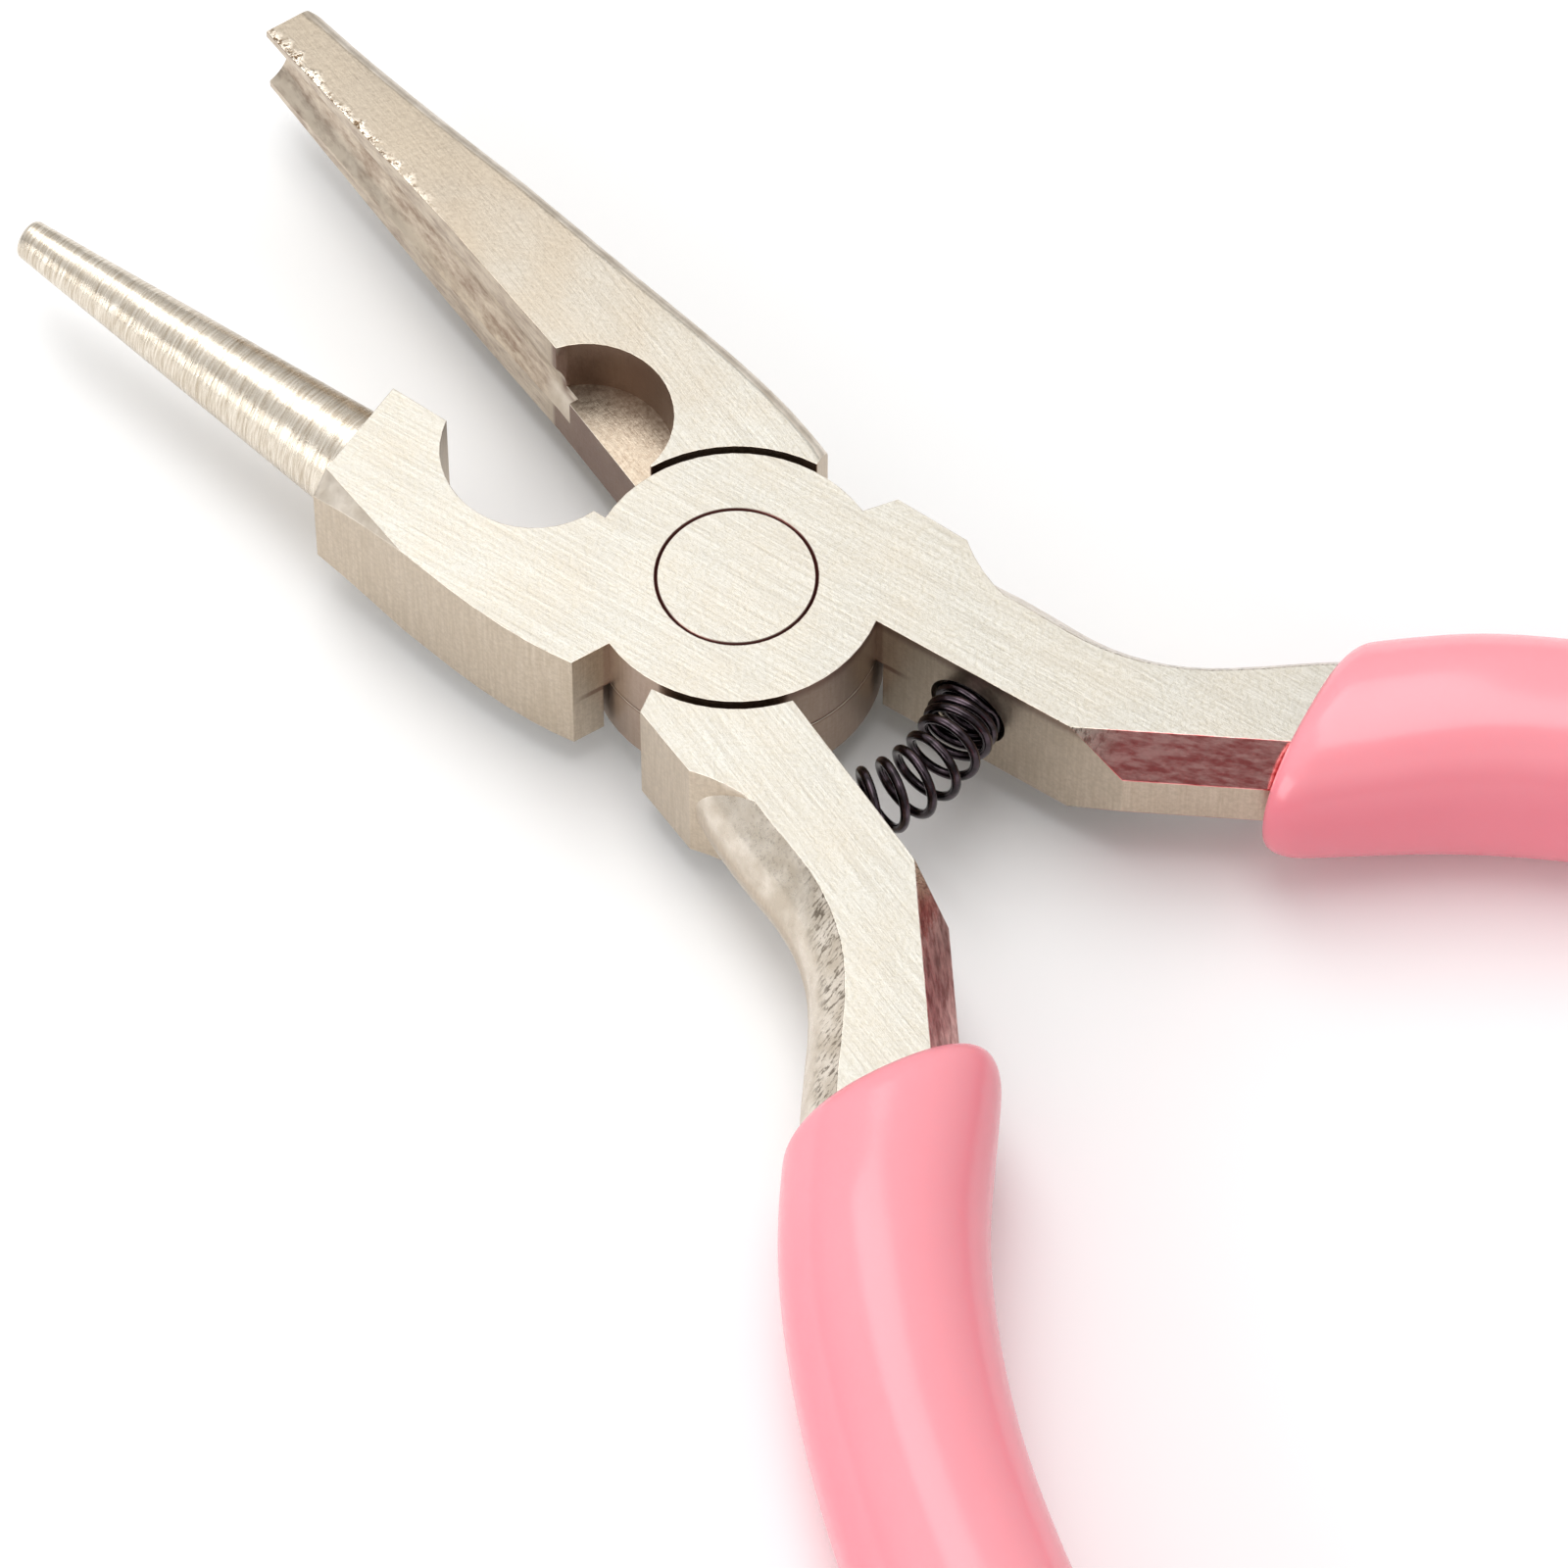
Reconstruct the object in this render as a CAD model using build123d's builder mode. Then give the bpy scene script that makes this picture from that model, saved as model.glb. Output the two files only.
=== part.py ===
from build123d import *
import os
from math import cos, radians, sin, tan

os.makedirs("parts", exist_ok=True)

# Wire-looping pliers, 130 mm class: one round conical jaw that closes into one grooved jaw.
# Frame: +Y along the closed jaws, +X to the right, +Z up.  The origin is on the pivot axis,
# on the flat underside of the joint.  Millimetres.
#
# Both levers are drawn as they lie when the pliers are closed, on a plane that is then turned
# about the pivot.  The round jaw is left of the midline and its handle is on the right; the
# grooved jaw is on the right and its handle on the left.  At rest the spring holds them open.

# ---- driving dimensions -------------------------------------------------------------------
thickness = 7.2            # both levers, measured at the joint
half_open = 11.25          # degrees each lever is turned out from closed, at rest
handle_half_open = 10.85   # degrees each handle is turned out, at rest
handle_lean = -0.4         # degrees by which both handles sit askew of the jaws' midline

disc_r = 7.4               # half-thickness joint disc of each lever
recess_gap = 0.4           # room between a disc and the other lever's round recess
lap_gap = 0.06             # running clearance between the two lapped faces

rivet_head_r = 4.0         # flush countersunk head, both ends alike
rivet_shank_r = 2.7
rivet_head_depth = 1.3
rivet_clearance = 0.05     # the left lever turns on the rivet
rivet_edge_break = 0.1     # together with the hole's edge this leaves the fine ring

jaw_gap = 0.1              # each inner jaw face stands this far off the midline
throat_r = 4.75            # round throat behind the round jaw, cut right through
throat_y = 12.6
throat_offset = 0.8        # its centre, beyond the midline from its own jaw
pocket_r = 4.4             # blind throat behind the grooved jaw, down to the lapped face
pocket_y = 12.2
pocket_offset = 0.9

block_front_y = 20.6       # front face of the block that carries the round nose
block_corner_x = -7.15     # its outer front corner, at mid thickness
corner_bevel_width = 1.2   # the corner is ground back towards both flat faces
corner_bevel_depth = 1.0
corner_bevel_end_x = -8.05
corner_bevel_end_y = 14.5
nose_base_r = 2.85
nose_tip_r = 1.04
nose_base_x = -3.1
nose_tip_x = -0.8
nose_tip_y = 43.0
nose_tip_round = 0.3

grooved_tip_y = 42.2       # grooved jaw
grooved_tip_inner_x = -0.95
grooved_tip_outer_x = 2.1
grooved_tip_thickness = 4.7
grooved_back_round = 0.8   # its outer edges are left rounded, as forged
taper_start_y = 26.0       # the jaw's two flat faces draw together from here to the tip
groove_base_y = 16.4
groove_base_r = 3.2
groove_base_depth = 0.5
groove_tip_r = 2.05
groove_tip_depth = 1.2

shoulder_y = -4.0          # front corner of the handle's shoulder
shoulder_x = 8.35
shoulder_length = 4.2
spring_face_x = 1.7        # inner face that the spring pushes on
knee_x = 2.0               # where the inner face turns outward towards the grip
knee_y = -21.6
knee_angle = 30.0
inner_bevel_width = 1.5    # long bevels along the handle's inner edges
inner_bevel_depth = 2.2
back_bevel_width = 1.75    # the rounded back of the handle
back_bevel_depth = 2.4
back_round = 3.4

spring_y = -12.6           # middle of the spring and of its two blind seats
spring_outer_r = 1.95
spring_seat_clearance = 0.2
spring_seat_depth = 2.0
spring_wire = 0.5
spring_end_gap = 0.1

grip_mouth_y = -27.5       # front rim of each grip, where the middle of the handle meets it
grip_mouth_slant = 10.0    # degrees by which the rim leans back on the inner side
grip_width = 10.2
grip_thickness = 11.6
grip_end_round = 5.0
grip_mouth_thickness = 9.8
grip_waist = 10.0
tang_overlap = 2.5         # ground bar runs on this far inside the grip
tang_width = 6.0
tang_thickness = 6.4
tang_tip_width = 4.4
tang_tip_thickness = 5.0
tang_corner = 1.6
tang_start = 0.03          # shares of the handle's bow: the tang's first section,
tang_taper_start = 0.65    # where it begins to taper,
tang_end = 0.92            # and its tip

# middle of the right handle from the grip's mouth to its end, closed
handle_bow = [(9.2, -27.6), (14.4, -34.3), (18.3, -41.8), (21.2, -50.2),
              (23.3, -60.0), (23.8, -70.0), (22.7, -79.5), (20.6, -87.0)]

# ---- worked out from those ----------------------------------------------------------------
mid_z = thickness / 2
recess_r = disc_r + recess_gap
spring_seat_r = spring_outer_r + spring_seat_clearance
upper_lap_z = mid_z + lap_gap / 2
lower_lap_z = mid_z - lap_gap / 2
past = 1.0                 # how far a cutting shape runs past the faces it cuts
far = 60.0                 # half-size of a cutting shape that takes in everything on one side


def lever_plane(turn, height=0.0):
    """A lever's own drawing plane: its closed axes, turned about the pivot."""
    across = (cos(radians(turn)), sin(radians(turn)), 0)
    return Plane(origin=(0, 0, height), x_dir=across, z_dir=(0, 0, 1))


def side_plane(turn):
    """A lever's side view through the pivot: local x runs forward, local y runs up."""
    across = (cos(radians(turn)), sin(radians(turn)), 0)
    forward = (-sin(radians(turn)), cos(radians(turn)), 0)
    return Plane(origin=(0, 0, 0), x_dir=forward, z_dir=across)


def cross_plane(turn, x, y):
    """Square across a lever at the closed point (x, y), at mid thickness; local x is up."""
    base = lever_plane(turn)
    forward = (-sin(radians(turn)), cos(radians(turn)), 0)
    return Plane(origin=base.from_local_coords(Vector(x, y, mid_z)), x_dir=(0, 0, 1), z_dir=forward)


right = half_open          # turn of the lever whose handle is on the right
left = -half_open
handle = handle_half_open + handle_lean
left_handle = -handle_half_open + handle_lean
mirror_plane = Plane(origin=(0, 0, 0), z_dir=lever_plane(handle_lean).x_dir)

# ---- right handle; the left one is its mirror image ------------------------------------------
with BuildLine(lever_plane(handle, mid_z)) as bow:
    Spline(*handle_bow)
bow_line = bow.wire()


def bow_section(along, ahead=0.0):
    """Square across the handle's bow, at a share of its length; local x is up."""
    onward = bow_line % along
    return Plane(origin=bow_line @ along - onward * ahead, x_dir=(0, 0, 1), z_dir=onward)


knee_run = (knee_y - grip_mouth_y) / cos(radians(knee_angle)) + tang_overlap
bar_end_x = knee_x + knee_run * sin(radians(knee_angle))
bar_end_y = knee_y - knee_run * cos(radians(knee_angle))

with BuildPart() as handle_bar:
    # the bar behind the shoulder: back rounded, inner edges bevelled
    with BuildSketch(lever_plane(handle)):
        with BuildLine():
            back = Spline(
                (7.4, -5.5), (8.2, -9.5), (8.35, -13.0), (8.35, -16.5), (9.4, -20.2), (12.0, -23.9),
                (15.6, -29.4),
            )
            Polyline(back @ 1, (bar_end_x, bar_end_y), (knee_x, knee_y), (spring_face_x, -5.5), back @ 0)
        make_face()
    extrude(amount=thickness)
    for side in (0, -1):
        flat = handle_bar.faces().filter_by(Plane.XY).sort_by(Axis.Z)[side]
        back_edge = flat.edges().filter_by(GeomType.BSPLINE)[0]
        chamfer(back_edge, length=back_bevel_width, length2=back_bevel_depth, reference=flat)
    for side in (0, -1):
        flat = handle_bar.faces().filter_by(Plane.XY).sort_by(Axis.Z)[side]
        knee_mid = lever_plane(handle).from_local_coords(
            Vector((knee_x + bar_end_x) / 2, (knee_y + bar_end_y) / 2, thickness * -side))
        knee_edge = flat.edges().sort_by_distance(knee_mid)[0]
        chamfer(knee_edge, length=inner_bevel_width, length2=inner_bevel_depth, reference=flat)
    back_faces = handle_bar.faces().filter_by(GeomType.PLANE, reverse=True)
    back_wall = back_faces.sort_by_distance(lever_plane(handle).from_local_coords(Vector(20, -15, mid_z)))[0]
    fillet(back_wall.edges().filter_by(GeomType.BSPLINE), back_round)

with BuildPart() as tang:
    # the tapered tang inside the grip
    for along, across, up in (
        (tang_start, tang_width, tang_thickness),
        ((tang_start + tang_taper_start) / 2, tang_width, tang_thickness),
        (tang_taper_start, tang_width, tang_thickness),
        (tang_end, tang_tip_width, tang_tip_thickness),
    ):
        with BuildSketch(bow_section(along)):
            RectangleRounded(up, across, tang_corner)
    loft()

with BuildPart() as right_handle:
    add(handle_bar.part)
    add(tang.part)
    # the squared shoulder next to the joint
    with BuildSketch(lever_plane(handle)):
        with BuildLine():
            Polyline((1.0, 0.0), (spring_face_x + 0.1, -7.0), (knee_x, -14.0), (6.3, -14.0))
            sweep_in = Spline((6.3, -14.0), (6.8, -10.8), (shoulder_x - 0.1, shoulder_y - shoulder_length))
            Polyline(sweep_in @ 1, (shoulder_x, shoulder_y), (5.4, -2.0), (1.0, 0.0))
        make_face()
    extrude(amount=thickness)
    # blind seat for the spring
    seat_plane = lever_plane(handle)
    with BuildSketch(Plane(origin=seat_plane.from_local_coords(Vector(0, spring_y, mid_z)),
                           x_dir=(0, 0, 1), z_dir=seat_plane.x_dir)):
        Circle(spring_seat_r)
    extrude(amount=spring_face_x + spring_seat_depth, mode=Mode.SUBTRACT)

# ---- rivet ----------------------------------------------------------------------------------
with BuildPart() as pivot_rivet:
    with BuildSketch(Plane.XZ):
        with BuildLine():
            Polyline(
                (0, 0), (rivet_head_r - rivet_edge_break, 0), (rivet_head_r, rivet_edge_break),
                (rivet_shank_r, rivet_head_depth), (rivet_shank_r, thickness - rivet_head_depth),
                (rivet_head_r, thickness - rivet_edge_break), (rivet_head_r - rivet_edge_break, thickness),
                (0, thickness), (0, 0),
            )
        make_face()
    revolve(axis=Axis.Z)


def rivet_hole(clearance):
    """Profile that cuts a lever's hole for the rivet, with that much room all round."""
    head = rivet_head_r + clearance
    shank = rivet_shank_r + clearance
    return Polyline(
        (0, -past), (head + rivet_edge_break + past, -past), (head, rivet_edge_break),
        (shank, rivet_head_depth), (shank, thickness - rivet_head_depth),
        (head, thickness - rivet_edge_break), (head + rivet_edge_break + past, thickness + past),
        (0, thickness + past), (0, -past),
    )


# ---- lever with the round jaw: upper disc, right handle ----------------------------------------
with BuildPart() as round_jaw_lever:
    with BuildSketch(lever_plane(right)) as round_side_outline:
        with BuildLine():
            outer = Spline((block_corner_x, block_front_y), (-7.85, 15.5), (-8.75, 9.5), (-8.75, 3.9))
            Polyline(outer @ 1, (-5.0, 2.2), (-1.0, 0.0), (-jaw_gap, block_front_y), outer @ 0)
        make_face()
        with Locations((throat_offset, throat_y)):
            Circle(throat_r, mode=Mode.SUBTRACT)
    extrude(amount=thickness)
    # outer front corner, ground back towards both flat faces
    for face_z, toward_mid in ((thickness, -1), (0, 1)):
        base = lever_plane(right)
        edge_front = base.from_local_coords(
            Vector(block_corner_x + corner_bevel_width, block_front_y, face_z))
        edge_rear = base.from_local_coords(Vector(corner_bevel_end_x, corner_bevel_end_y, face_z))
        low_front = base.from_local_coords(
            Vector(block_corner_x, block_front_y, face_z + toward_mid * corner_bevel_depth))
        bevel_normal = (edge_rear - edge_front).cross(low_front - edge_front)
        bevel = Plane(origin=edge_front, z_dir=bevel_normal)
        inside = bevel.to_local_coords(base.from_local_coords(Vector(-3, 15, mid_z)))
        split(bisect_by=bevel, keep=Keep.TOP if inside.Z > 0 else Keep.BOTTOM)
    with BuildSketch(Plane.XY):
        Circle(disc_r)
    extrude(amount=thickness)
    add(right_handle.part)
    # round recess that the other lever's disc turns in
    with BuildSketch(Plane.XY.offset(-past)):
        Circle(recess_r)
    extrude(amount=past + upper_lap_z, mode=Mode.SUBTRACT)
    # conical round nose
    with BuildSketch(cross_plane(right, nose_base_x, block_front_y - past)):
        Circle(nose_base_r)
    with BuildSketch(cross_plane(right, nose_tip_x, nose_tip_y)):
        Circle(nose_tip_r)
    loft()
    fillet(round_jaw_lever.edges().sort_by(Axis.Y)[-1], nose_tip_round)
    with BuildSketch(Plane.XZ):
        with BuildLine():
            rivet_hole(0)
        make_face()
    revolve(axis=Axis.Z, mode=Mode.SUBTRACT)

# ---- lever with the grooved jaw: lower disc, left handle ----------------------------------------
with BuildPart() as concave_jaw_lever:
    with BuildSketch(lever_plane(left)):
        with BuildLine():
            outer = Spline((8.1, 3.9), (7.95, 8.0), (6.6, 16.0), (4.6, 26.2), (grooved_tip_outer_x, 41.5))
            Polyline(
                outer @ 1, (grooved_tip_outer_x - 0.5, grooved_tip_y), (grooved_tip_inner_x, grooved_tip_y),
                (jaw_gap, groove_base_y), (jaw_gap, 0.0), (5.0, 2.2), outer @ 0,
            )
        make_face()
    extrude(amount=thickness)
    # both flat faces of the jaw draw together towards the tip
    with BuildSketch(side_plane(left)):
        with BuildLine():
            Polyline(
                (0, 0), (taper_start_y, 0), (grooved_tip_y, mid_z - grooved_tip_thickness / 2),
                (grooved_tip_y + past, mid_z - grooved_tip_thickness / 2),
                (grooved_tip_y + past, mid_z + grooved_tip_thickness / 2),
                (grooved_tip_y, mid_z + grooved_tip_thickness / 2), (taper_start_y, thickness),
                (0, thickness), (0, 0),
            )
        make_face()
    extrude(amount=far, both=True, mode=Mode.INTERSECT)
    back_wall = concave_jaw_lever.faces().filter_by(GeomType.PLANE, reverse=True)
    fillet(back_wall.edges().filter_by(GeomType.LINE, reverse=True), grooved_back_round)
    # long conical groove that the round nose closes into
    with BuildSketch(cross_plane(left, jaw_gap + groove_base_depth - groove_base_r, groove_base_y - past)):
        Circle(groove_base_r)
    groove_tip_x = grooved_tip_inner_x + groove_tip_depth - groove_tip_r
    with BuildSketch(cross_plane(left, groove_tip_x, grooved_tip_y + past)):
        Circle(groove_tip_r)
    loft(mode=Mode.SUBTRACT)
    # blind half of the throat
    with BuildSketch(lever_plane(left, upper_lap_z)):
        with Locations((-pocket_offset, pocket_y)):
            Circle(pocket_r)
    extrude(amount=thickness, mode=Mode.SUBTRACT)
    with BuildSketch(Plane.XY):
        Circle(disc_r)
    extrude(amount=thickness)
    mirror(right_handle.part, about=mirror_plane)
    with BuildSketch(Plane.XY.offset(lower_lap_z)):
        Circle(recess_r)
    extrude(amount=thickness, mode=Mode.SUBTRACT)
    with BuildSketch(Plane.XZ):
        with BuildLine():
            rivet_hole(rivet_clearance)
        make_face()
    revolve(axis=Axis.Z, mode=Mode.SUBTRACT)

# ---- return spring: a coil of wire, here the sleeve that it fills ---------------------------------
seat_run = spring_seat_depth - spring_end_gap
right_mouth = lever_plane(handle).from_local_coords(Vector(spring_face_x, spring_y, mid_z))
right_end = lever_plane(handle).from_local_coords(Vector(spring_face_x + seat_run, spring_y, mid_z))
left_mouth = lever_plane(left_handle).from_local_coords(Vector(-spring_face_x, spring_y, mid_z))
left_end = lever_plane(left_handle).from_local_coords(
    Vector(-spring_face_x - seat_run, spring_y, mid_z))
spring_bend_r = abs(spring_y) + spring_face_x / tan(radians(handle_half_open))
with BuildPart() as return_spring:
    with BuildLine() as spring_path:
        Line(right_end, right_mouth)
        RadiusArc(right_mouth, left_mouth, spring_bend_r)
        Line(left_mouth, left_end)
    with BuildSketch(Plane(origin=spring_path.wire() @ 0, x_dir=(0, 0, 1), z_dir=spring_path.wire() % 0)):
        Circle(spring_outer_r)
        Circle(spring_outer_r - spring_wire, mode=Mode.SUBTRACT)
    sweep()

# ---- grips: moulded sleeves pulled over the tangs ------------------------------------------------
grip_end_share = 1 - grip_end_round / bow_line.length
grip_end = scale(Sphere(1, mode=Mode.PRIVATE), by=(grip_thickness / 2, grip_width / 2, grip_end_round),
                 mode=Mode.PRIVATE)

with BuildPart() as right_grip_end:
    add(bow_section(grip_end_share).location * grip_end)
    split(bisect_by=bow_section(grip_end_share), keep=Keep.TOP)

with BuildPart() as right_grip:
    # oval sections square across the bow, evenly spaced, from ahead of the mouth to the closed end
    step = grip_end_share / 7
    with BuildSketch(bow_section(0.0, step * bow_line.length)):
        Ellipse(grip_mouth_thickness / 2, grip_width / 2)
    for number, (up, across) in enumerate((
        (grip_mouth_thickness, grip_width), (grip_thickness, grip_width), (grip_thickness, grip_waist),
        (grip_thickness, grip_waist), (grip_thickness, grip_width), (grip_thickness, grip_width),
        (grip_thickness, grip_width), (grip_thickness, grip_width),
    )):
        with BuildSketch(bow_section(number * step)):
            Ellipse(up / 2, across / 2)
    loft()
    add(right_grip_end.part)
    # trimmed at the mouth, a little aslant
    with BuildSketch(lever_plane(handle, -grip_thickness)):
        with Locations(Location((handle_bow[0][0], grip_mouth_y), grip_mouth_slant)):
            Rectangle(far, far, align=(Align.CENTER, Align.MIN))
    extrude(amount=4 * grip_thickness, mode=Mode.SUBTRACT)
    add(handle_bar.part, mode=Mode.SUBTRACT)
    add(tang.part, mode=Mode.SUBTRACT)

with BuildPart() as left_grip:
    mirror(right_grip.part, about=mirror_plane)

for name, piece in (
    ("round_jaw_lever", round_jaw_lever),
    ("concave_jaw_lever", concave_jaw_lever),
    ("pivot_rivet", pivot_rivet),
    ("return_spring", return_spring),
    ("right_grip", right_grip),
    ("left_grip", left_grip),
):
    piece.part.label = name
    export_step(piece.part, "parts/" + name + ".step")
    print(name, "solids", len(piece.part.solids()), "volume", round(piece.part.volume, 1))
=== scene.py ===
# %% [markdown]
# # Wire-looping pliers
# A pair of small sprung jeweller's pliers: two forged steel levers lapped at a flush rivet, a
# coil spring that pushes the handles apart, and two pink PVC sleeves dipped over the tangs.
# One jaw is a round cone and the other has a long groove that the cone closes into.
#
# The levers and the rivet keep their machined shape: they get a finish, and the levers also
# get their sharp edges broken.  The sleeves and the spring are modelled here, because a soft
# rolled rim and a real helix are what the eye looks for on them.

# %% Load the frame
from math import cos, pi, radians, sin, tan

import bmesh
import bpy
from mathutils import Matrix, Vector
from mathutils.geometry import interpolate_bezier


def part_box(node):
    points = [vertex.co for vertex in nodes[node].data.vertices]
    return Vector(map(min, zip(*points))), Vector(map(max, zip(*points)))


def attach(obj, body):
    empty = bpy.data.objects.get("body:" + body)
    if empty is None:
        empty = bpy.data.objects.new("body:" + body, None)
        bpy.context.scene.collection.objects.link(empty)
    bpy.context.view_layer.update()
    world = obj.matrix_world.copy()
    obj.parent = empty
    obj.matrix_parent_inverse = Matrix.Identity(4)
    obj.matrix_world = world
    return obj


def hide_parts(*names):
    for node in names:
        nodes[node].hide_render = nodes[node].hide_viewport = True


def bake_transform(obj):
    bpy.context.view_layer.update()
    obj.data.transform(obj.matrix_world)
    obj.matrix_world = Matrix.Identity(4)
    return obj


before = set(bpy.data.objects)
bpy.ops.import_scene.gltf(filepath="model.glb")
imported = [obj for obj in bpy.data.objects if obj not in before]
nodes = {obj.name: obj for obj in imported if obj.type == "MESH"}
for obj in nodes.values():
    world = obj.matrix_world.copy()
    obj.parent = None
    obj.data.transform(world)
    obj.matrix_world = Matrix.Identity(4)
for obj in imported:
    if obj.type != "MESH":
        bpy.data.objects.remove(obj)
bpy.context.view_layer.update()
mm = 0.001
print("nodes:", ", ".join(sorted(nodes)))

# %% [markdown]
# ## How the levers lie
# Each lever was drawn closed, along +Y, and then turned about the pivot.  The sleeves, the
# spring and the direction of the grinding marks all follow those turns, so they come first.

# %% The turns, and the heights
jaw_turn = {"right": radians(11.25), "left": radians(-11.25)}       # the lever whose handle is on that side
handle_turn = {"right": radians(10.45), "left": radians(-11.25)}
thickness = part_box("pivot_rivet")[1].z
mid_z = thickness / 2
floor_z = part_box("right_grip")[0].z


def placed(side, point):
    """A point drawn beside the closed right handle, in mm, taken to where that side's handle is."""
    mirrored = Vector((point[0] if side == "right" else -point[0], point[1], point[2])) * mm
    return Matrix.Rotation(handle_turn[side], 3, "Z") @ mirrored


print(f"levers {thickness / mm:.2f} mm thick, table {floor_z / mm:.2f} mm below the joint")

# %% [markdown]
# ## Nodes and colours
# Every finish below is a handful of shader nodes.  One helper adds a node, sets it and links
# it; another turns a given colour (sRGB) into the linear numbers that a shader wants.

# %% Helpers for the finishes
def linear(code):
    """An sRGB hex colour as linear RGBA."""
    shares = [int(code[i:i + 2], 16) / 255 for i in (1, 3, 5)]
    return [s / 12.92 if s <= 0.04045 else ((s + 0.055) / 1.055) ** 2.4 for s in shares] + [1.0]


def add(tree, kind, inputs=None, **settings):
    """Adds a node; inputs are numbers, colours or the sockets that feed it."""
    made = tree.nodes.new("ShaderNode" + kind)
    for name, value in settings.items():
        setattr(made, name, value)
    for name, value in (inputs or {}).items():
        if isinstance(value, bpy.types.NodeSocket):
            tree.links.new(value, made.inputs[name])
        else:
            made.inputs[name].default_value = value
    return made


def new_finish(name, **shader_values):
    """A material with its shader; the values are uniform ones, set on the shader itself."""
    finish = bpy.data.materials.new(name)
    finish.use_nodes = True
    shader = finish.node_tree.nodes["Principled BSDF"]
    for socket, value in shader_values.items():
        shader.inputs[socket.replace("_", " ")].default_value = value
    return finish, finish.node_tree, shader


def in_scene(name, data):
    """A new object that shows this mesh, light or camera."""
    made = bpy.data.objects.new(name, data)
    bpy.context.scene.collection.objects.link(made)
    return made


A, B, RESULT = 6, 7, 2      # a colour Mix node's two inputs and its output

# %% [markdown]
# ## Satin nickel on ground steel
# The levers are forged carbon steel.  Their two flat faces are surface-ground, which leaves
# fine lines along each lever; the walls are filed across, so their lines run up and down;
# the rounded backs and bevels keep a little of the forged skin, and all of it is plated with
# a thin warm nickel.  The plating is a metal, so the colour sits in its reflection: pale
# champagne on the ground faces and a darker beige where the light comes off rough walls.
#
# The pattern is worked out from the direction that the surface faces, so that one finish
# serves the whole forging.

# %% Steel finish
rivet_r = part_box("pivot_rivet")[1].x / mm
lever_thickness = thickness / mm
# where the painted shade and the stains lie, in mm on a lever as it was drawn
disc_gap_shade_r = 7.5                         # in the gap round the joint disc
lap_shade_reach = 8.5                             # along the lap between the levers
throat_shade_middle = (-0.9, 12.2, 0.0)
throat_shade_r = 4.6
groove_stains_from = 17.0
lip_from, lip_to = 16.4, 42.2               # the grooved jaw's upper lip starts and ends here
lip_base_x, lip_tip_x = 0.1, -0.95          # and lies this far across there
worn_lean = 0.55                            # the worn bevels lie this much further out for each mm back
worn_colours = {"right": ("#D07270", "#FBBAB4"), "left": ("#9E7570", "#DDB9B2")}      # dull, bright


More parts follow.
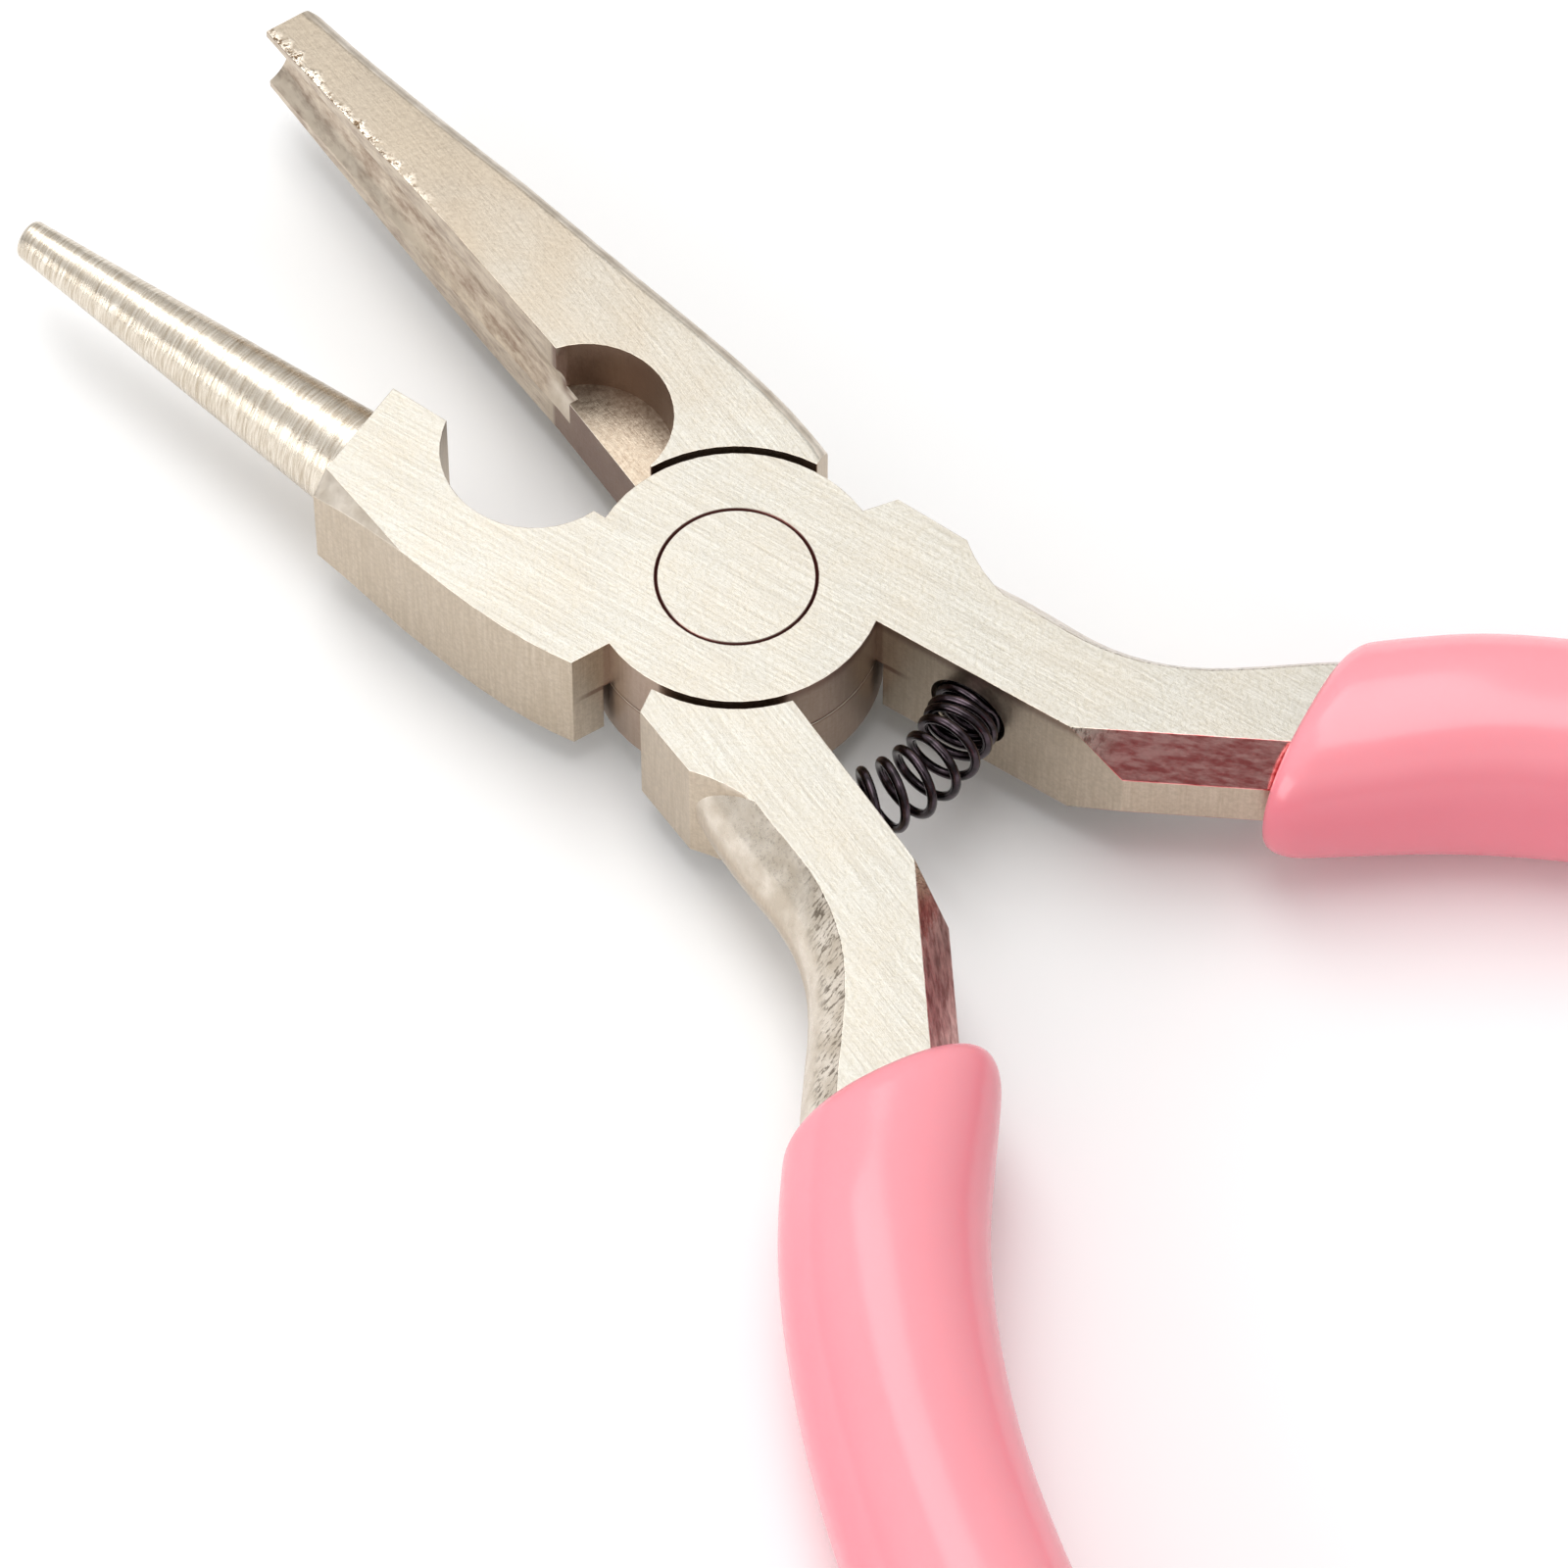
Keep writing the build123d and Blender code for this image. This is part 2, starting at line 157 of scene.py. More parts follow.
def steel_finish(name, side, nose_starts=None, lip_starts=None):
    """side is where the lever's handle is; nose_starts and lip_starts are distances along the jaw, mm."""
    finish, tree, shader = new_finish(name, Metallic=1.0)
    place = add(tree, "TexCoord")
    lie = add(tree, "Mapping", {"Vector": place.outputs["Object"], "Scale": (1 / mm,) * 3,
                                "Rotation": (0, 0, -jaw_turn[side])}).outputs[0]      # mm, along the lever
    across, along, up = add(tree, "SeparateXYZ", {0: lie}).outputs
    from_pivot = add(tree, "VectorMath", {0: add(tree, "CombineXYZ", {0: across, 1: along}).outputs[0]},
                     operation="LENGTH").outputs[1]

    def ramp(value, low, high, to_low=0.0, to_high=1.0):
        return add(tree, "MapRange", {"Value": value, "From Min": low, "From Max": high,
                                      "To Min": to_low, "To Max": to_high}).outputs[0]

    def math(operation, *values):
        return add(tree, "Math", dict(enumerate(values)), operation=operation).outputs[0]

    def grain(stretch, detail=2.0, roughness=0.5):
        """Noise with stretch cells to the millimetre along each axis of the lever."""
        scaled = add(tree, "VectorMath", {0: lie, 1: stretch}, operation="MULTIPLY").outputs[0]
        return add(tree, "TexNoise", {"Vector": scaled, "Scale": 1.0, "Detail": detail,
                                      "Roughness": roughness}).outputs["Fac"]

    def mix(share, a, b):
        return add(tree, "Mix", {0: share, A: a, B: b}, data_type="RGBA").outputs[RESULT]

    normal_z = add(tree, "SeparateXYZ", {0: place.outputs["Normal"]}).outputs[2]
    facing = math("ABSOLUTE", normal_z)
    from_middle = math("ABSOLUTE", math("SUBTRACT", up, lever_thickness / 2))
    flat = ramp(facing, 0.975, 0.99)                     # the ground faces
    wall = ramp(facing, 0.25, 0.08)                      # upright walls; what is left is bevels and rounds
    sunk = ramp(from_middle, 2.4, 1.8)
    ground_lines = grain((6.0, 0.2, 1.0), 4.0, 0.65)     # about 0.2 mm apart and several mm long
    file_lines = grain((6.0, 6.0, 0.3), 3.0, 0.6)
    sand = grain((4.0, 4.0, 4.0), 3.0, 0.75)             # blasted skin under the plating, 0.25 mm
    clouds = grain((0.3, 0.3, 0.3), 2.0)
    dents = grain((0.8, 0.8, 0.8), 3.0, 0.5)
    nicks = grain((2.0, 5.0, 1.0), 3.0, 0.7)             # short marks square to the edge
    hand = 1.0 if side == "right" else -1.0

    # colour: forged rounds and bevels, then walls, then the ground faces
    forged = mix(ramp(dents, 0.35, 0.65), linear("#C8BCAC"), linear("#E4DACD"))
    flecks = math("MULTIPLY", ramp(nicks, 0.50, 0.40), ramp(from_middle, 1.7, 2.5))
    uneven = math("ADD", along, ramp(clouds, 0.3, 0.7, -4.0, 4.0))
    flecks = math("MULTIPLY", flecks, ramp(uneven, -14.0, -19.0))
    forged = mix(math("MULTIPLY", flecks, 0.85), forged, linear("#5E5244"))
    filed = mix(ramp(file_lines, 0.3, 0.7), linear("#C0B19D"), linear("#D2C4B2"))
    filed = mix(ramp(sand, 0.38, 0.6, 0.5, 0.0), filed, linear("#AA9A87"))
    # painted shade: dark in the throat, along the slit between the levers and under the inner edges
    inner_wall_shade = math("MULTIPLY", ramp(math("MULTIPLY", across, hand), 3.5, 2.5), ramp(along, -4.0, -6.0))
    inner_wall_shade = math("MULTIPLY", inner_wall_shade, ramp(up, 6.4, 6.9))
    lap_slit_shade = math("MULTIPLY", ramp(from_middle, 0.25, 0.12), ramp(from_pivot, lap_shade_reach + 1.0, lap_shade_reach))
    painted_shade = math("MAXIMUM", math("MULTIPLY", inner_wall_shade, 0.6), math("MULTIPLY", lap_slit_shade, 0.7))
    ground = mix(ramp(ground_lines, 0.3, 0.62), linear("#AAA59B"), linear("#BBB8B0"))
    ground = mix(ramp(sand, 0.38, 0.55, 0.5, 0.0), ground, linear("#9D9789"))
    drilled = mix(ramp(sand, 0.3, 0.7), linear("#9A8876"), linear("#CDBFAC"))
    ground = mix(sunk, ground, drilled)
    if lip_starts is not None:
        # painted shade on the walls round the throat
        from_throat = add(tree, "VectorMath", {0: add(tree, "CombineXYZ", {0: across, 1: along}).outputs[0],
                                               1: throat_shade_middle}, operation="DISTANCE").outputs[1]
        throat_shade = ramp(from_throat, throat_shade_r + 0.3, throat_shade_r, 0.0, 0.85)
        painted_shade = math("MAXIMUM", painted_shade, throat_shade)
    # the painted shade darkens the walls here
    filed = mix(painted_shade, filed, linear("#6E4C40"))
    # painted shade, red-brown, in the gap round the joint disc
    from_gap = math("ABSOLUTE", math("SUBTRACT", from_pivot, disc_gap_shade_r))
    gap_shade = math("MULTIPLY", ramp(from_gap, 0.35, 0.2), wall)
    filed = mix(math("MULTIPLY", gap_shade, 0.4), filed, linear("#7E4E46"))
    if lip_starts is not None:
        # towards the tip the grooved jaw is left blasted, a little darker
        blasted = mix(ramp(sand, 0.3, 0.7), linear("#93887A"), linear("#AFA494"))
        ragged = math("ADD", along, ramp(clouds, 0.3, 0.7, -3.0, 3.0))
        ground = mix(ramp(ragged, 8.0, 26.0), ground, blasted)
    colour = mix(flat, mix(wall, forged, filed), ground)
    colour = mix(ramp(clouds, 0.35, 0.7, 0.0, 0.15), colour, linear("#B7A78F"))

    height = mix(flat, mix(wall, dents, mix(0.6, file_lines, sand)), mix(0.6, ground_lines, sand))
    rough = ramp(sand, 0.3, 0.7, 0.30, 0.42)
    # the forged skin behind the shoulder was tumbled, so it is smoother
    tumbled = math("MULTIPLY", ramp(math("ADD", flat, wall), 1.0, 0.0), ramp(along, -5.0, -9.0))
    rough = math("SUBTRACT", rough, math("MULTIPLY", tumbled, 0.07))
    # the inner bevels beside the sleeve are glossier, and coppery where the plating is thin
    inward = math("ADD", math("MULTIPLY", across, hand), math("MULTIPLY", along, worn_lean))
    copper = math("MULTIPLY", ramp(inward, -5.5, -6.5), ramp(along, -19.0, -21.0))
    copper = math("MULTIPLY", copper, math("SUBTRACT", 1.0, math("MAXIMUM", flat, wall)))
    dull, bright = worn_colours[side]
    worn = mix(ramp(grain((1.5, 0.5, 3.0), 3.0, 0.6), 0.38, 0.62), linear(dull), linear(bright))
    colour = mix(copper, colour, worn)
    rough = math("SUBTRACT", rough, math("MULTIPLY", copper, 0.16))
    if nose_starts is not None:
        # the cone was turned, so its marks are rings about 0.12 mm apart
        nose = ramp(along, nose_starts, nose_starts + 0.15)
        rings = grain((0.6, 9.0, 0.6), 3.0, 0.65)
        colour = mix(nose, colour, mix(ramp(rings, 0.35, 0.65), linear("#BFB19D"), linear("#EDE4D6")))
        height = mix(nose, height, mix(0.5, rings, sand))
        rough = math("SUBTRACT", rough, math("MULTIPLY", nose, 0.08))
    if lip_starts is not None:
        # the groove is rough from its cutter, with brown streaks along it, and painted shade in its middle
        outward = add(tree, "VectorMath", {0: place.outputs["Normal"],
                                           1: (cos(jaw_turn[side]), sin(jaw_turn[side]), 0.0)},
                      operation="DOT_PRODUCT").outputs[1]
        groove = math("MULTIPLY", ramp(along, groove_stains_from, groove_stains_from + 1.0),
                      math("SUBTRACT", 1.0, flat))
        groove = math("MULTIPLY", groove, ramp(outward, 0.1, -0.1))
        stains = grain((2.0, 0.6, 2.0), 5.0, 0.7)
        # painted shade: faces that point a little up, in the groove's middle, are not lifted
        painted_groove_shade = ramp(math("ABSOLUTE", math("SUBTRACT", normal_z, 0.3)), 0.4, 0.15, 0.12, 0.0)
        cut = mix(ramp(math("ADD", stains, painted_groove_shade), 0.36, 0.64), linear("#947D6C"), linear("#D6C8B5"))
        colour = mix(math("MULTIPLY", groove, 0.85), colour, cut)
        # its upper lip is bruised and pitted: bright and dark flecks
        edge = math("ADD", across, ramp(along, lip_from, lip_to, -lip_base_x, -lip_tip_x))
        ragged = math("ADD", edge, ramp(grain((0.9, 0.9, 0.9), 3.0), 0.3, 0.7, -0.3, 0.4))
        lip = math("MULTIPLY", ramp(ragged, 0.6, 0.15), ramp(along, lip_starts, lip_starts + 5.0))
        lip = math("MULTIPLY", lip, ramp(facing, 0.85, 0.97))
        pits = grain((3.4, 3.4, 3.4), 2.0, 0.8)
        colour = mix(lip, colour, mix(ramp(pits, 0.4, 0.54), linear("#66533F"), linear("#DDD3C4")))
        height = mix(lip, height, math("MULTIPLY", pits, 2.0))
        rough = math("SUBTRACT", rough, math("MULTIPLY", lip, 0.12))
    # painted shade, dark brown, in the seam round the rivet
    rivet_seam_shade = ramp(math("ABSOLUTE", math("SUBTRACT", from_pivot, rivet_r)), 0.12, 0.06)
    colour = mix(rivet_seam_shade, colour, linear("#5A3430"))
    bump = add(tree, "Bump", {"Strength": 0.35, "Distance": 0.06 * mm, "Height": height})
    tree.links.new(colour, shader.inputs["Base Color"])
    tree.links.new(rough, shader.inputs["Roughness"])
    tree.links.new(bump.outputs[0], shader.inputs["Normal"])
    return finish


finishes = {
    "round_jaw_lever": steel_finish("satin_nickel_round_jaw", "right", nose_starts=20.62),
    "concave_jaw_lever": steel_finish("satin_nickel_grooved_jaw", "left", lip_starts=26.0),
    "pivot_rivet": steel_finish("satin_nickel_rivet", "right"),
}
print("steel finishes:", ", ".join(f.name for f in finishes.values()))

# %% [markdown]
# ## Broken edges
# No ground edge is perfectly sharp: the polishing wheel leaves a twentieth of a millimetre
# of round, and that thin line is what catches the light.  The machined shapes come in as
# loose triangles, so each is copied, its doubled points are merged, its flat areas are made
# single faces again, and then only the outer edges that turn sharply are bevelled.

# %% Break the edges
edge_break = 0.05 * mm
sharp_from = radians(28)
crease_from = radians(35)
seam_width = 0.2            # the rivet was ground flush with the lever, so its rim stays crisp


def eased(node_name):
    """A merged copy of a machined node with its sharp edges broken."""
    shape = bmesh.new()
    shape.from_mesh(nodes[node_name].data)
    bmesh.ops.remove_doubles(shape, verts=shape.verts, dist=0.002 * mm)
    bmesh.ops.dissolve_limit(shape, angle_limit=radians(0.4), verts=shape.verts, edges=shape.edges)
    sharp = [e for e in shape.edges if e.is_convex and e.calc_face_angle() > sharp_from
             and abs((e.verts[0].co.xy).length / mm - rivet_r) > seam_width]
    bmesh.ops.bevel(shape, geom=sharp, offset=edge_break, offset_type="OFFSET", segments=2,
                    profile=0.5, affect="EDGES", clamp_overlap=False, material=-1)
    for face in shape.faces:
        face.smooth = True
    for edge in shape.edges:
        edge.smooth = edge.calc_face_angle(pi) < crease_from
    mesh = bpy.data.meshes.new(node_name + "_eased")
    shape.to_mesh(mesh)
    shape.free()
    piece = in_scene(node_name + "_eased", mesh)
    even = piece.modifiers.new("flat_faces_stay_flat", "WEIGHTED_NORMAL")
    even.weight = 90
    even.keep_sharp = True
    print(piece.name, len(sharp), "edges broken,", len(mesh.polygons), "faces")
    return piece


nodes["pivot_rivet"].data.materials.clear()
nodes["pivot_rivet"].data.materials.append(finishes["pivot_rivet"])
carried_by = {"round_jaw_lever": "round_jaw_side", "concave_jaw_lever": "concave_jaw_side"}
for node_name, body in carried_by.items():
    piece = eased(node_name)
    piece.data.materials.append(finishes[node_name])
    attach(piece, body)
    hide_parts(node_name)

# %% [markdown]
# ## The sleeves
# Each handle is pushed into a PVC sleeve that was dip-moulded in one piece: a rolled rim at
# the mouth, an oval section a little narrower in the middle, and a domed end.  It is easiest
# to turn that shape straight, like a vase on a lathe, and then to bend it to the bow of the
# handle, which is what happens to the real one when it is pulled on.

# %% The handle's bow
# middle of the right handle, closed, from the sleeve's mouth to its end
bow_points = [(9.2, -27.6), (14.4, -34.3), (18.3, -41.8), (21.2, -50.2),
              (23.3, -60.0), (23.8, -70.0), (22.7, -79.5), (20.6, -87.0)]


def smooth_line(points, steps=24):
    """A smooth line through the points, as evenly cut pieces between each pair."""
    knots = [Vector((x, y, 0)) for x, y in points]
    ends = [2 * knots[0] - knots[1], *knots, 2 * knots[-1] - knots[-2]]
    slopes = [(ends[i + 2] - ends[i]) / 6 for i in range(len(knots))]
    line = [knots[0]]
    for a, b, slope_a, slope_b in zip(knots, knots[1:], slopes, slopes[1:]):
        line += interpolate_bezier(a, a + slope_a, b - slope_b, b, steps + 1)[1:]
    return line


bow = smooth_line(bow_points)
bow_length = sum((b - a).length for a, b in zip(bow, bow[1:]))


def along_bow(distance):
    """(point, onward direction) at a distance in mm; before the start it runs on straight."""
    if distance <= 0:
        onward = (bow[1] - bow[0]).normalized()
        return bow[0] + onward * distance, onward
    run = 0.0
    for a, b in zip(bow, bow[1:]):
        step = (b - a).length
        if run + step >= distance:
            break
        run += step
    return a + (b - a) * ((distance - run) / step), (b - a).normalized()


print(f"bow {bow_length:.1f} mm long")

# %% Turn a sleeve straight and bend it
sleeve_width, sleeve_waist = 10.2, 10.0
mouth_height, sleeve_height = 9.8, 11.6
rim_round = 1.25            # rolled rim
end_round = 5.0             # domed end
mouth_slant = radians(31)   # the mouth isn't square to the bow but leans back on its outer side
slant_fades = 15.0
squareness = 2.25           # 2 would be an oval
pocket_share = 0.66         # the hole for the tang, as a share of the section
pocket_depth = 0.9          # and how far in it goes, as a share of the bow


def sleeve_profile():
    """(share of the section's radius, distance along the bow) from the pocket's floor to the pole."""
    share_round = rim_round / (sleeve_width / 2)
    lip = 1 - share_round - pocket_share
    points = [(0.0, pocket_depth * bow_length), (0.5, pocket_depth * bow_length)]
    points += [(pocket_share * 0.92, d) for d in (55.0, 42.0, 30.0, 18.0, 8.0, 3.0)]
    for step in range(4):                       # tight inner edge of the rim
        turn = radians(90) * step / 4
        points.append((pocket_share + lip * (1 - cos(turn)), rim_round * 0.6 * (1 - sin(turn))))
    for step in range(9):                       # rolled outer edge
        turn = radians(90) * step / 8
        points.append((1 - share_round * (1 - sin(turn)), rim_round * 1.5 * (1 - cos(turn))))
    straight = bow_length - end_round
    first = rim_round * 1.5
    count = 38
    points += [(1.0, first + (straight - first) * i / count) for i in range(1, count + 1)]
    for step in range(1, 11):                   # domed end
        turn = radians(90) * step / 10
        points.append((cos(turn), straight + end_round * sin(turn)))
    return points


def fade(x):
    """0 to 1 with a soft start and end."""
    x = min(max(x, 0.0), 1.0)
    return x * x * (3 - 2 * x)


def bent(side, straight):
    """Where a point of the straight sleeve (across, along, up; section radius 1) ends up."""
    u, distance, w = straight
    radius = (u * u + w * w) ** 0.5
    share = distance / bow_length
    waist = 1 - fade(abs(share - 0.33) / 0.22)
    half_width = (sleeve_width + (sleeve_waist - sleeve_width) * waist) / 2
    half_height = (mouth_height + (sleeve_height - mouth_height) * fade(share / 0.16)) / 2
    if radius > 0:                              # a little squarer than an oval
        c, s = abs(u) / radius, abs(w) / radius
        fuller = (c ** squareness + s ** squareness) ** (-1 / squareness)
        u, w = u * fuller, w * fuller
    lean = tan(mouth_slant) * u * half_width * max(0.0, 1 - distance / slant_fades) ** 2
    point, onward = along_bow(distance + lean)
    outward = Vector((-onward.y, onward.x, 0))  # away from the other handle
    point = point + outward * u * half_width
    return placed(side, (point.x, point.y, mid_z / mm + w * half_height))


def make_sleeve(side):
    """One sleeve, spun straight from its profile, then bent."""
    shape = bmesh.new()
    profile = [shape.verts.new((r, d, 0)) for r, d in sleeve_profile()]
    edges = [shape.edges.new(pair) for pair in zip(profile, profile[1:])]
    bmesh.ops.spin(shape, geom=profile + edges, axis=(0, 1, 0), cent=(0, 0, 0),
                   steps=56, angle=2 * pi, use_merge=True)
    bmesh.ops.remove_doubles(shape, verts=shape.verts, dist=1e-4)
    for vert in shape.verts:
        vert.co = bent(side, vert.co)
    bmesh.ops.recalc_face_normals(shape, faces=shape.faces)
    for face in shape.faces:
        face.smooth = True
    mesh = bpy.data.meshes.new(side + "_sleeve")
    shape.to_mesh(mesh)
    shape.free()
    sleeve = in_scene(side + "_sleeve", mesh)
    smoother = sleeve.modifiers.new("rounder", "SUBSURF")
    smoother.levels = smoother.render_levels = 1
    return sleeve


# %% Plasticised PVC
def pvc_finish():
    """Dipped pink vinyl: soft, glossy, slightly see-through at the skin, faintly rippled."""
    finish, tree, shader = new_finish("dipped_pink_pvc", IOR=1.50, Roughness=0.2,
                                      Subsurface_Weight=0.25, Subsurface_Scale=1.2 * mm)
    shader.inputs["Subsurface Radius"].default_value = (1.0, 0.45, 0.4)
    coordinates = add(tree, "TexCoord")
    place = coordinates.outputs["Object"]
    ripple = add(tree, "TexNoise", {"Vector": place, "Scale": 0.12 / mm, "Detail": 2.0}).outputs["Fac"]
    speck = add(tree, "TexNoise", {"Vector": place, "Scale": 3.0 / mm, "Detail": 2.0}).outputs["Fac"]
    # painted light and shade: the pink is lighter on upward faces and deeper on the sides and underneath
    up = add(tree, "SeparateXYZ", {0: coordinates.outputs["Normal"]}).outputs[2]
    painted_top_light = add(tree, "MapRange", {"Value": up, "From Min": 0.1, "From Max": 0.95},
                interpolation_type="SMOOTHSTEP").outputs[0]
    colour = add(tree, "Mix", {0: painted_top_light, A: linear("#E97F8E"), B: linear("#F99DA7")},
                 data_type="RGBA").outputs[RESULT]
    tint = add(tree, "MapRange", {"Value": ripple, "From Min": 0.35, "From Max": 0.65,
                                  "To Max": 0.10}).outputs[0]
    colour = add(tree, "Mix", {0: tint, A: colour, B: linear("#F2818F")},
                 data_type="RGBA").outputs[RESULT]
    skin = add(tree, "Mix", {0: 0.12, A: ripple, B: speck}, data_type="RGBA").outputs[RESULT]
    bump = add(tree, "Bump", {"Strength": 0.25, "Distance": 0.12 * mm, "Height": skin})
    tree.links.new(colour, shader.inputs["Base Color"])
    tree.links.new(bump.outputs[0], shader.inputs["Normal"])
    return finish


pink_pvc = pvc_finish()
bodies = {"right": "round_jaw_side", "left": "concave_jaw_side"}
for side, body in bodies.items():
    sleeve = make_sleeve(side)
    sleeve.data.materials.append(pink_pvc)
    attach(sleeve, body)
    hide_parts(side + "_grip")
    print(sleeve.name, len(sleeve.data.polygons), "faces before rounding")

# %% [markdown]
# ## The return spring
# A compression spring of black-oiled music wire, seated in a blind hole in each handle.  Its
# coils nearly touch at the seats and stand open between them, and it bows away from the
# pivot, because the handles squeeze it more on the pivot's side.  A helix is one formula, so
# the wire is a round-bevelled curve through points on it, made a mesh.

# %% Wind the spring
wire_r = 0.25
coil_r = 1.95 - wire_r
seat_y, seat_face_x, seat_run = -12.6, 1.7, 1.9
spring_bow = 0.6            # how far its middle stands beyond an even arc
close_pitch, open_pitch = 0.56, 1.35
points_per_turn = 20

seat_points = [placed("right", (seat_face_x + seat_run, seat_y, mid_z / mm)),
               placed("right", (seat_face_x, seat_y, mid_z / mm)),
               placed("left", (seat_face_x, seat_y, mid_z / mm)),
               placed("left", (seat_face_x + seat_run, seat_y, mid_z / mm))]


def spring_middle():
    """The coil's middle line in metres, as many short pieces."""
    start, right_mouth, left_mouth, end = seat_points
    reach = (right_mouth - left_mouth).length * 0.36
    toward_right = (start - right_mouth).normalized()
    toward_left = (end - left_mouth).normalized()
    away = Vector((0, -spring_bow * mm * 4 / 3, 0))
    arc = interpolate_bezier(right_mouth, right_mouth - toward_right * reach + away,
                             left_mouth - toward_left * reach + away, left_mouth, 200)
    lead_in = [start.lerp(right_mouth, i / 40) for i in range(40)]
    lead_out = [left_mouth.lerp(end, i / 40) for i in range(1, 41)]
    return lead_in + list(arc) + lead_out


def wind():
    """Points along the wire, in metres."""
    middle = spring_middle()
    lengths = [0.0]
    for a, b in zip(middle, middle[1:]):
        lengths.append(lengths[-1] + (b - a).length / mm)
    total = lengths[-1]
    coils, turn, run, piece = [], 0.0, 0.0, 0
    while run < total:
        while piece < len(lengths) - 2 and lengths[piece + 1] < run:
            piece += 1
        share = (run - lengths[piece]) / (lengths[piece + 1] - lengths[piece])
        point = middle[piece].lerp(middle[piece + 1], share)
        onward = (middle[piece + 1] - middle[piece]).normalized()
        side = onward.cross(Vector((0, 0, 1))).normalized()
        coils.append(point + (side * cos(turn) + Vector((0, 0, 1)) * sin(turn)) * coil_r * mm)
        opened = fade((run - 2.7) / 1.3) * fade((total - 1.4 - run) / 1.0)
        pitch = close_pitch + (open_pitch - close_pitch) * opened
        run += pitch / points_per_turn
        turn += 2 * pi / points_per_turn
    return coils


coils = wind()
wire = bpy.data.curves.new("return_spring_wire", "CURVE")
wire.dimensions = "3D"
wire.bevel_depth = wire_r * mm
wire.bevel_resolution = 4
wire.resolution_u = 2
wire.use_fill_caps = True
spline = wire.splines.new("NURBS")
spline.points.add(len(coils) - 1)
for point, place in zip(spline.points, coils):
    point.co = (*place, 1)
spline.order_u = 3
spline.use_endpoint_u = True
wire_object = in_scene("wire", wire)
bpy.context.view_layer.update()
settled = wire_object.evaluated_get(bpy.context.evaluated_depsgraph_get())
coil_mesh = bpy.data.meshes.new_from_object(settled)
bpy.data.objects.remove(wire_object)
coil = in_scene("coil_spring", coil_mesh)
coil_mesh.shade_smooth()
print(f"spring: {len(coils) / points_per_turn:.1f} turns, {len(coil_mesh.polygons)} faces")

# %% Black-oiled spring wire
def oiled_wire_finish():
    """Heat-blued music wire, oiled: nearly black, with a violet glint."""
    finish, tree, shader = new_finish("black_oiled_wire", Metallic=1.0, Coat_Weight=0.4,
                                      Coat_Roughness=0.12)
    place = add(tree, "TexCoord").outputs["Object"]
    drawn = add(tree, "TexNoise", {"Vector": place, "Scale": 1.5 / mm, "Detail": 3.0}).outputs["Fac"]
    share = add(tree, "MapRange", {"Value": drawn, "From Min": 0.35, "From Max": 0.7}).outputs[0]
    colour = add(tree, "Mix", {0: share, A: linear("#1F181B"), B: linear("#54464F")},
                 data_type="RGBA").outputs[RESULT]
    rough = add(tree, "MapRange", {"Value": drawn, "To Min": 0.16, "To Max": 0.3}).outputs[0]
    tree.links.new(colour, shader.inputs["Base Color"])
    tree.links.new(rough, shader.inputs["Roughness"])
    return finish


coil.data.materials.append(oiled_wire_finish())
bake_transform(coil)
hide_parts("return_spring")

# %% [markdown]
# ## Table, light and camera
# The pliers lie on a white sheet under soft boxes.  A big box overhead whitens the ground
# faces and leaves one bright band on every round; a second from the left leaves the other,
# with a darker line between them where only the tent is reflected.

# %% Table
def table_finish():
    """Matt white paper."""
    finish, _, shader = new_finish("white_paper", Roughness=0.9)
    shader.inputs["Base Color"].default_value = linear("#FCFCFC")
    return finish


sheet = bmesh.new()
bmesh.ops.create_grid(sheet, x_segments=1, y_segments=1, size=3.0)
bmesh.ops.translate(sheet, verts=sheet.verts, vec=(0, 0, floor_z))
table_mesh = bpy.data.meshes.new("table")
sheet.to_mesh(table_mesh)
sheet.free()
table = in_scene("table", table_mesh)
table.data.materials.append(table_finish())

# %% Lights
def softbox(name, direction, distance, long_axis, size, radiance):
    """A soft box in that direction from the pivot, facing it; its long side lies along long_axis."""
    light = bpy.data.lights.new(name, "AREA")
    light.shape = "RECTANGLE"
    light.size, light.size_y = size
    light.energy = radiance * pi * size[0] * size[1]
    back = Vector(direction).normalized()
    up = (Vector(long_axis) - back * back.dot(Vector(long_axis))).normalized()
    turn = Matrix((up.cross(back), up, back)).transposed()
    in_scene(name, light).matrix_world = Matrix.Translation(back * distance) @ turn.to_4x4()


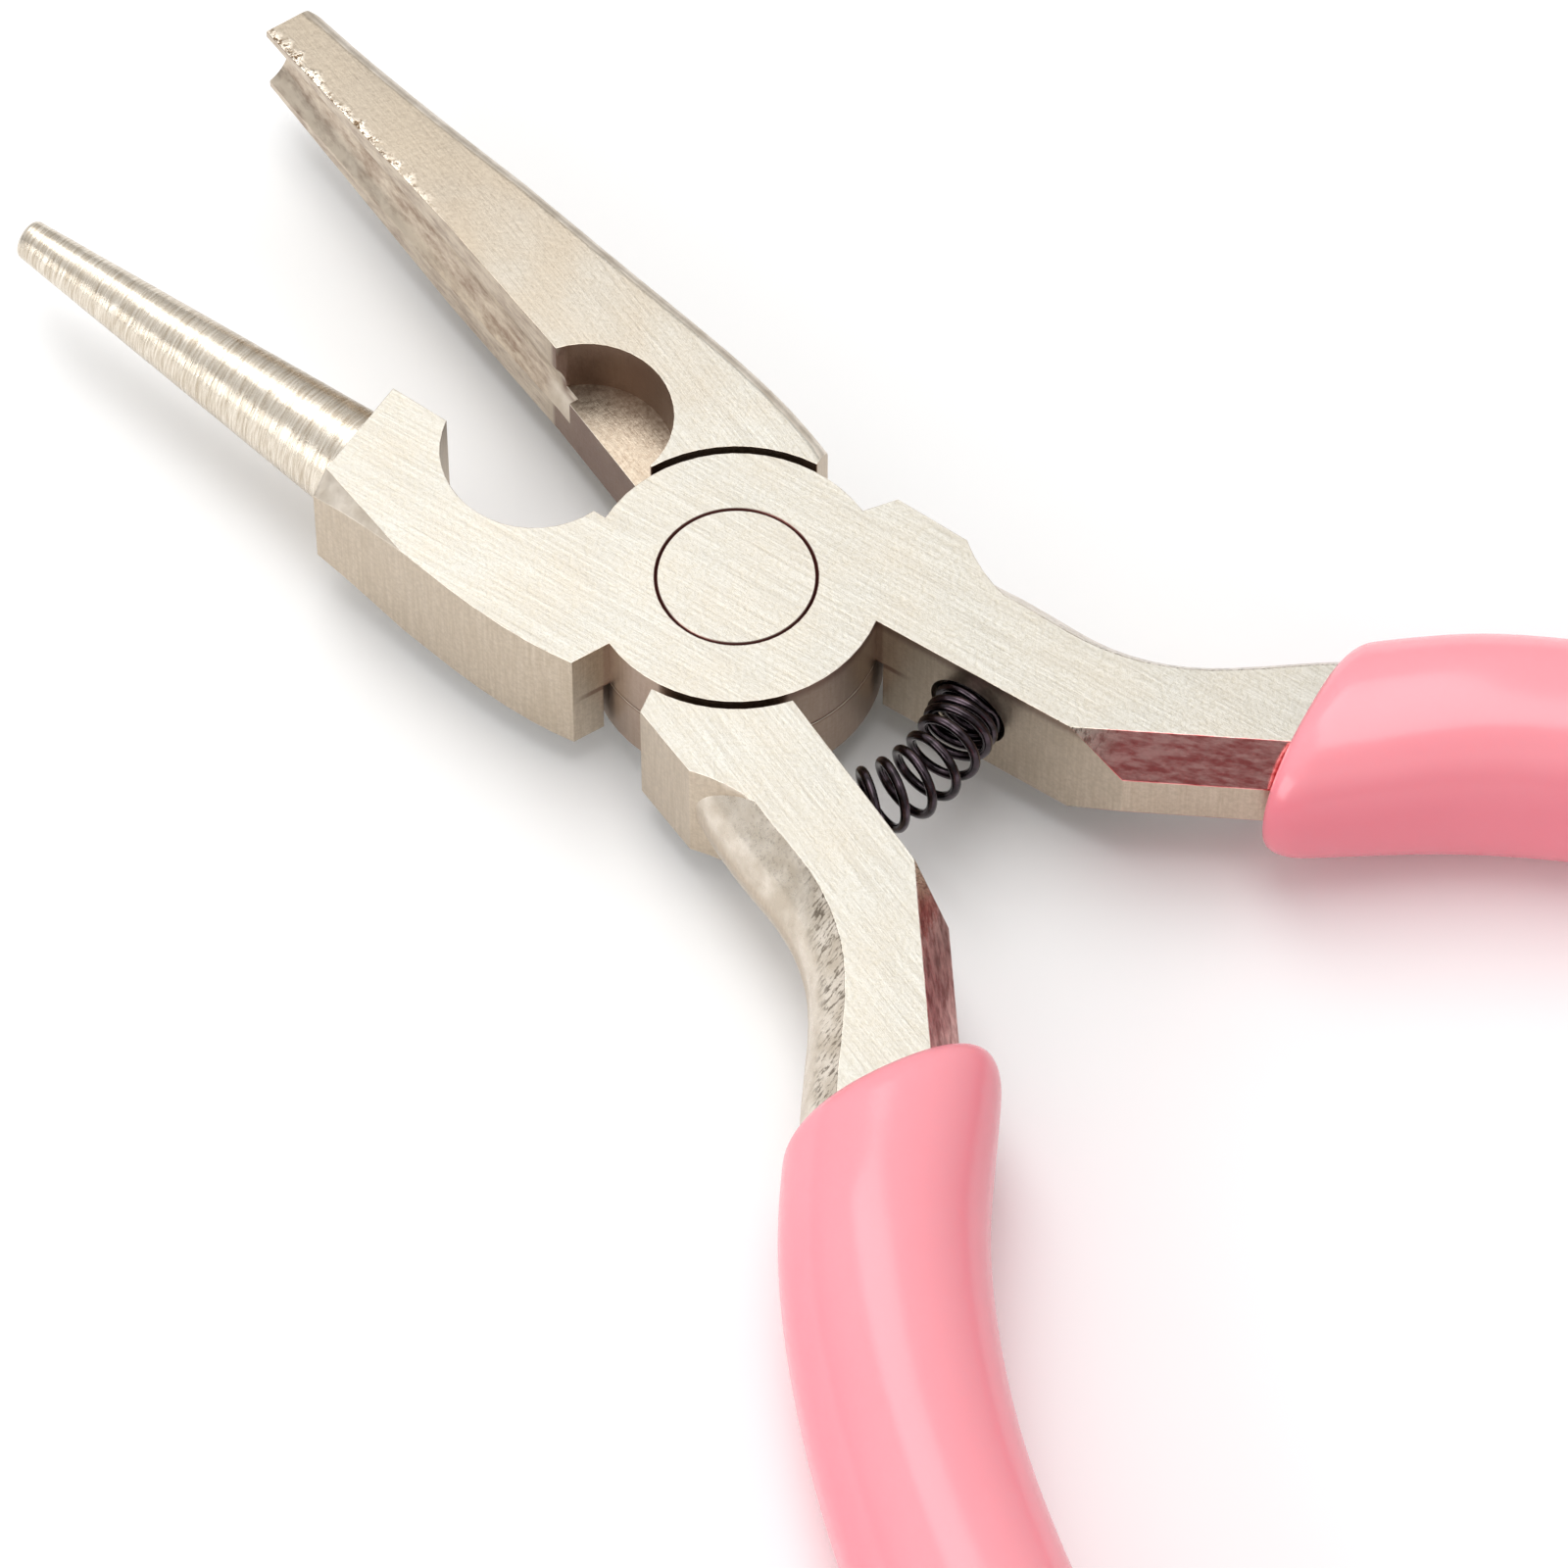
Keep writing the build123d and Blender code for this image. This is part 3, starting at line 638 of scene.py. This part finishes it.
softbox("overhead_strip", (0.106, 0.26, 1.0), 0.85, (0.379, 0.925, 0.0), (0.40, 1.0), 2.65)
softbox("left_box", (-0.937, 0.118, 0.36), 0.8, (0.0, 1.0, 0.0), (0.40, 0.60), 3.4)
camera_way = (-0.381, -0.380, 0.843)
far_way = (0.707, 0.707, 0.0)               # the tent is brighter on this side


def studio_world():
    """A white tent, bright overhead and dim at its foot, with one dark patch where the camera stands."""
    world = bpy.data.worlds.new("studio")
    world.use_nodes = True
    tree = world.node_tree
    way = add(tree, "TexCoord").outputs["Generated"]
    height = add(tree, "SeparateXYZ", {0: way}).outputs[2]
    toward = add(tree, "VectorMath", {0: way, 1: camera_way},
                 operation="DOT_PRODUCT").outputs[1]
    tent = add(tree, "MapRange", {"Value": height, "From Min": 0.15, "From Max": 0.75,
                                  "To Min": 0.25, "To Max": 0.80}).outputs[0]
    unshaded = add(tree, "MapRange", {"Value": toward, "From Min": cos(radians(20)),
                                      "From Max": cos(radians(9)),
                                      "To Min": 1.0, "To Max": 0.06}).outputs[0]
    behind = add(tree, "VectorMath", {0: way, 1: far_way}, operation="DOT_PRODUCT").outputs[1]
    behind = add(tree, "MapRange", {"Value": behind, "From Min": 0.1, "From Max": 0.6,
                                    "To Max": 0.25}).outputs[0]
    tent = add(tree, "Math", {0: tent, 1: behind}, operation="ADD").outputs[0]
    strength = add(tree, "Math", {0: tent, 1: unshaded}, operation="MULTIPLY").outputs[0]
    tree.links.new(strength, tree.nodes["Background"].inputs["Strength"])
    tree.nodes["Background"].inputs["Color"].default_value = linear("#FFFFFF")
    return world


bpy.context.scene.world = studio_world()
bpy.context.scene.view_settings.view_transform = "Standard"

# %% Camera
camera = bpy.data.cameras.new("camera")
camera.lens = 225
camera.sensor_width = 36
camera.clip_start, camera.clip_end = 0.01, 20
viewer = in_scene("camera", camera)
viewer.location = (-0.1888, -0.1916, 0.4100)
viewer.rotation_euler = (radians(32.52), 0, radians(-45.08))
bpy.context.scene.camera = viewer
